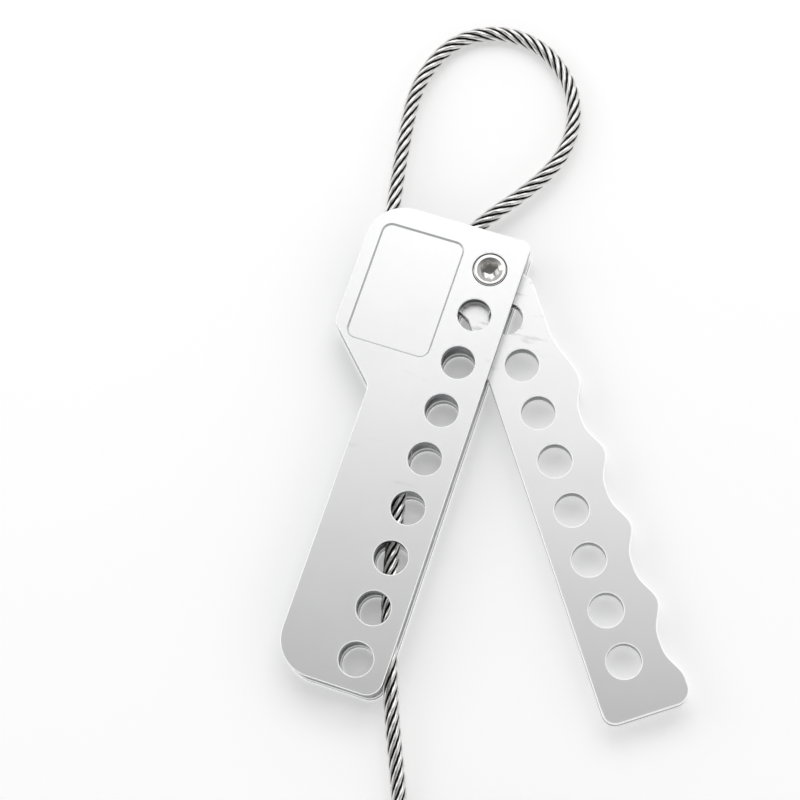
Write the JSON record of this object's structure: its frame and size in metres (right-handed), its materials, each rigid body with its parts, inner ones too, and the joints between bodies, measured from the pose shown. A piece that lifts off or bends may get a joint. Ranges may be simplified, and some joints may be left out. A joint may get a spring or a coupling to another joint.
{
  "type": "lockout hasp",
  "caption": "Slotted aluminium lockout hasp with a swinging scalloped lever, rows of padlock holes and a looped wire rope that the lever's cam clamps.",
  "frame": {"origin": "where the lever's pivot axis meets the body's flat back face", "axes": "+Z out of the front face along the pivot axis, +Y from the row of padlock holes towards the rope's loop, +X towards the side where the lever swings out"},
  "size_m": [0.1535, 0.3235, 0.0118],
  "materials": {
    "body_aluminium": "satin bead-blasted",
    "lever_aluminium": "satin bead-blasted",
    "pivot_steel": "polished",
    "bushing_bronze": "turned",
    "washer_bronze": "rolled",
    "ferrule_steel": "crimped",
    "grub_steel": "black oxide",
    "rope_steel": "bright drawn wire",
    "cap_steel": "swaged",
    "strap": "woven"
  },
  "bodies": {
    "hasp": {"hasp_body": "body_aluminium", "pivot_bolt": "pivot_steel", "pivot_nut": "pivot_steel", "front_washer": "washer_bronze", "rear_washer": "washer_bronze", "anchor_ferrule": "ferrule_steel", "anchor_grub_screws": "grub_steel", "cable_loop": "rope_steel", "cable_head_run": "rope_steel", "cable_tail_run": "rope_steel", "cable_lead": "rope_steel", "cable_coil": "rope_steel", "cable_free_end": "rope_steel", "cable_end_cap": "cap_steel", "coil_tie": "strap"},
    "lever": {"clamp_lever": "lever_aluminium", "lever_bushing": "bushing_bronze"}
  },
  "joints": [
    {"name": "lever_hinge", "type": "hinge", "parent": "hasp", "child": "lever", "pos_m": [0, 0, 0], "axis": [0, 0, 1], "range_deg": [-36, 54], "deforming": ["cable_tail_run"]}
  ]
}
